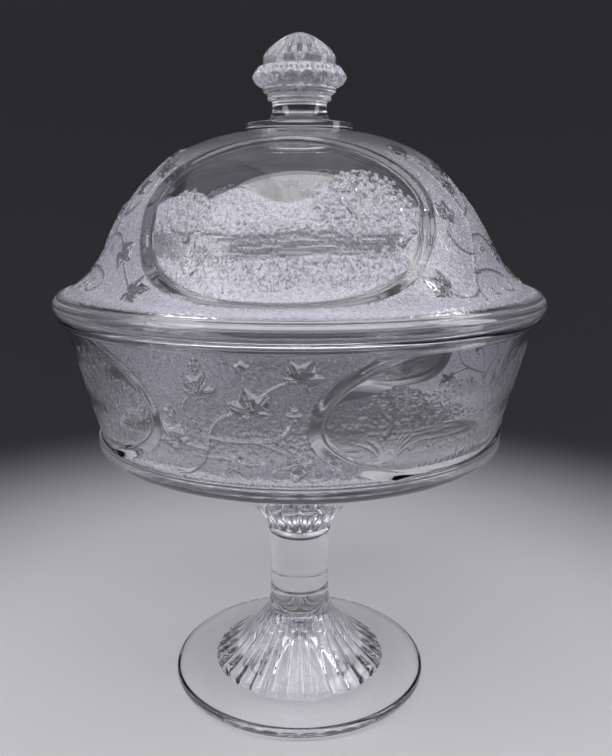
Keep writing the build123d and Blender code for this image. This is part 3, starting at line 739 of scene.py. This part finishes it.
on_collar = np.clip((collar_height + 0.2 - up_collar) / 2, 0, 1) * np.clip(up_collar / 3, 0, 1)
on_collar *= bowl_line[:, :1] > 14
lift += collar_flute_depth * on_collar * (np.sqrt(np.clip(1 - across_flute**2, 0, 1)) - 1)
# Painted highlight: a milky streak down the middle of each collar flute.
stipple += collar_painted_highlight * on_collar * np.clip((0.7 - np.abs(across_flute)) / 0.3, 0, 1)
lift[rows], stipple[rows] = bowl_lift, bowl_stipple
stipple[rows.stop:][bowl_line[rows.stop:, 0] > band_radius - 3] = band_haze
bowl_glass = spin("bowl_glass", bowl_line, lift, stipple=stipple)
finish_glass(bowl_glass, stippled_and_highlight_glass, "base", "bowl")

# The wafer is the gob of glass that was dropped between the hot stem and the bowl's collar.
# Its edge bulges softly, and it is fused to both.
wafer_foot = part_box("wafer")[0][2] / mm
wafer_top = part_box("wafer")[1][2] / mm
wafer_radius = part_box("wafer")[1][0] / mm
wafer_line = eased_line([
    (0, wafer_top + 0.1, 0),
    (wafer_radius - 0.5, wafer_top + 0.1, 0.4),
    (wafer_radius - 0.1, wafer_top - 0.8, 0.6),
    (wafer_radius, wafer_foot + 1.6, 0.8),
    (wafer_radius - 0.7, wafer_foot + 0.1, 0.5),
    (wafer_radius - 1.4, wafer_foot - 0.1, 0.2),
    (0, wafer_foot - 0.1, 0),
], 0.6)
clear_glass = glass(stippled=False)
finish_glass(spin("wafer_glass", wafer_line, columns=240), clear_glass, "base", "wafer")

# The pedestal is pressed in one piece: a solid stem with a plain flare, a skirt of rounded flutes
# that end on the foot, and a flat round foot that is hollow underneath.
stem_radius = 13.65
stem_groove = 44.5
skirt_neck = stem_radius + 1.15
skirt_radius = 40.0
skirt_reach = skirt_radius - 0.5
foot_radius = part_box("pedestal")[1][0] / mm
stem_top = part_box("pedestal")[1][2] / mm
skirt_flutes = 32
flute_depth_above = 0.18
flute_depth = 1.8
# Milky marks along the flute crests, stronger at their lower ends and toes, are painted highlights.
flute_painted_highlight = 0.35
flute_end_painted_highlight = 0.60
pedestal_columns = 768
skirt_top = 33.0
foot_top = 7.0
share = np.linspace(0, 1, 46)[:, None]
skirt = np.concatenate([
    skirt_neck + (skirt_reach - skirt_neck) * share**1.3,
    skirt_top + (foot_top + 2.0 - skirt_top) * share,
], 1)
stem_line = eased_line([
    (0, stem_top + 0.05, 0),
    (stem_radius, stem_top + 0.05, 0.3),
    (stem_radius, stem_groove + 0.7, 0.5),
    (stem_radius - 0.45, stem_groove, 0.4),
    (stem_radius + 0.15, stem_groove - 0.9, 0.4),
    (stem_radius + 0.45, 38.0, 3),
    (stem_radius + 1.1, 34.2, 1),
    (stem_radius + 1.5, 33.6, 0.3),
    tuple(skirt[0]) + (0,),
], 0.8)[:-1]
foot_line = eased_line([
    tuple(skirt[-1]) + (0,),
    (skirt_radius, foot_top + 0.5, 0.8),
    (skirt_radius + 0.5, foot_top, 0.4),
    (foot_radius - 1.2, 5.6, 1.0),
    (foot_radius, 4.2, 1.0),
    (foot_radius, 1.8, 1.6),
    (foot_radius - 2.2, 0.3, 1.0),
    (36.0, 0, 0.2),
    (34.5, 0.3, 0.8),
    (31.0, 4.5, 3),
    (25.0, 8.6, 3),
    (16.0, 15.5, 4),
    (8.0, 21.5, 4),
    (0, 23.0, 0),
], 1.0)[1:]
across_flute = ((np.arange(pedestal_columns) / pedestal_columns * skirt_flutes) % 1 - 0.5) * 2
flute = np.sqrt(np.clip(1 - across_flute**2, 0, 1)) - 1
flute_ends = (foot_line[:, :1] < skirt_radius + 0.4) * (foot_line[:, 1:] > foot_top - 0.5)
pedestal_lift = np.concatenate([
    0 * stem_line[:, :1] * flute,
    (flute_depth_above + (flute_depth - flute_depth_above) * share) * flute,
    flute_depth * flute * flute_ends,
])
# Painted highlights: a milky line along each flute's crest, brighter near the foot and on the toes.
flute_crest = np.clip((0.55 - np.abs(across_flute)) / 0.2, 0, 1)
pedestal_painted_highlight = np.concatenate([
    0 * stem_line[:, :1] * flute,
    (flute_painted_highlight + (flute_end_painted_highlight - flute_painted_highlight) * np.clip(share / 0.1 - 9, 0, 1)) * flute_crest,
    flute_end_painted_highlight * flute_crest * flute_ends,
])
pedestal_line = np.concatenate([stem_line, skirt, foot_line])
pedestal_glass = spin("pedestal_glass", pedestal_line, pedestal_lift, pedestal_columns, pedestal_painted_highlight)
finish_glass(pedestal_glass, stippled_and_highlight_glass, "base", "pedestal")

# The compote stands in a plain round sweep of pale board that darkens towards its top, so that clear
# glass shows its edges. Two tall soft lamps and one overhead light it.
board_flat = 420
board_bend = 360
board_wall = 560
board_columns = 96
pale_board = (0.56, 0.56, 0.57, 1)
dark_board = (0.025, 0.025, 0.030, 1)
lamp_aim = (0, 0, 0.15)
bend = np.radians(np.linspace(0, 90, 25))[1:]
up_wall = np.linspace(0.125, 1, 8) * board_wall
board_line = np.concatenate([
    np.stack([np.linspace(20, board_flat, 20), np.zeros(20)], 1),
    np.stack([board_flat + board_bend * np.sin(bend), board_bend * (1 - np.cos(bend))], 1),
    np.stack([np.full(8, board_flat + board_bend), board_bend + up_wall], 1),
])
board_turn = np.arange(board_columns) * 2 * pi / board_columns
board_points = np.stack([
    board_line[:, :1] * np.cos(board_turn),
    board_line[:, :1] * np.sin(board_turn),
    board_line[:, 1:] + 0 * board_turn,
], -1).reshape(-1, 3) * mm
board_faces = [tuple(range(board_columns))]
for ring in range(len(board_line) - 1):
    for column in range(board_columns):
        here = ring * board_columns + column
        beside = ring * board_columns + (column + 1) % board_columns
        board_faces.append((here, here + board_columns, beside + board_columns, beside))
board_mesh = bpy.data.meshes.new("board")
board_mesh.from_pydata(board_points.tolist(), [], board_faces)
board_mesh.polygons.foreach_set("use_smooth", np.ones(len(board_mesh.polygons), bool))
board = bpy.data.objects.new("board", board_mesh)
scene.collection.objects.link(board)
board_paint = bpy.data.materials.new("board_paint")
board_paint.use_nodes = True
board_nodes, board_links = board_paint.node_tree.nodes, board_paint.node_tree.links
board_place = board_nodes.new("ShaderNodeTexCoord")
board_reach = board_nodes.new("ShaderNodeVectorMath")
board_reach.operation = "LENGTH"
board_tone = board_nodes.new("ShaderNodeValToRGB")
board_tone.color_ramp.interpolation = "EASE"
board_tone.color_ramp.elements[0].position = 0.14
board_tone.color_ramp.elements[0].color = pale_board
board_tone.color_ramp.elements[1].position = 0.46
board_tone.color_ramp.elements[1].color = dark_board
board_links.new(board_place.outputs["Object"], board_reach.inputs[0])
board_links.new(board_reach.outputs["Value"], board_tone.inputs["Fac"])
board_shader = board_nodes["Principled BSDF"]
board_shader.inputs["Roughness"].default_value = 0.9
board_links.new(board_tone.outputs["Color"], board_shader.inputs["Base Color"])
board_mesh.materials.append(board_paint)
room = bpy.data.worlds.new("room")
scene.world = room
room.use_nodes = True
room.node_tree.nodes["Background"].inputs["Color"].default_value = (0.30, 0.30, 0.31, 1)
for lamp_name, lamp_place, lamp_size, lamp_watts in (
    ("lamp_left", (-0.60, -0.30, 0.55), (0.35, 0.75), 2.5),
    ("lamp_right", (0.62, -0.10, 0.48), (0.25, 0.70), 1.8),
    ("lamp_over", (0.0, -0.28, 0.95), (1.30, 0.62), 6.2),
):
    lamp_data = bpy.data.lights.new(lamp_name, "AREA")
    lamp_data.shape = "ELLIPSE"
    lamp_data.size, lamp_data.size_y = lamp_size
    lamp_data.energy = lamp_watts
    lamp = bpy.data.objects.new(lamp_name, lamp_data)
    lamp.location = lamp_place
    aim = np.array(lamp_aim) - np.array(lamp_place)
    lamp.rotation_euler = (atan2(hypot(aim[0], aim[1]), -aim[2]), 0, atan2(aim[1], aim[0]) - pi / 2)
    scene.collection.objects.link(lamp)
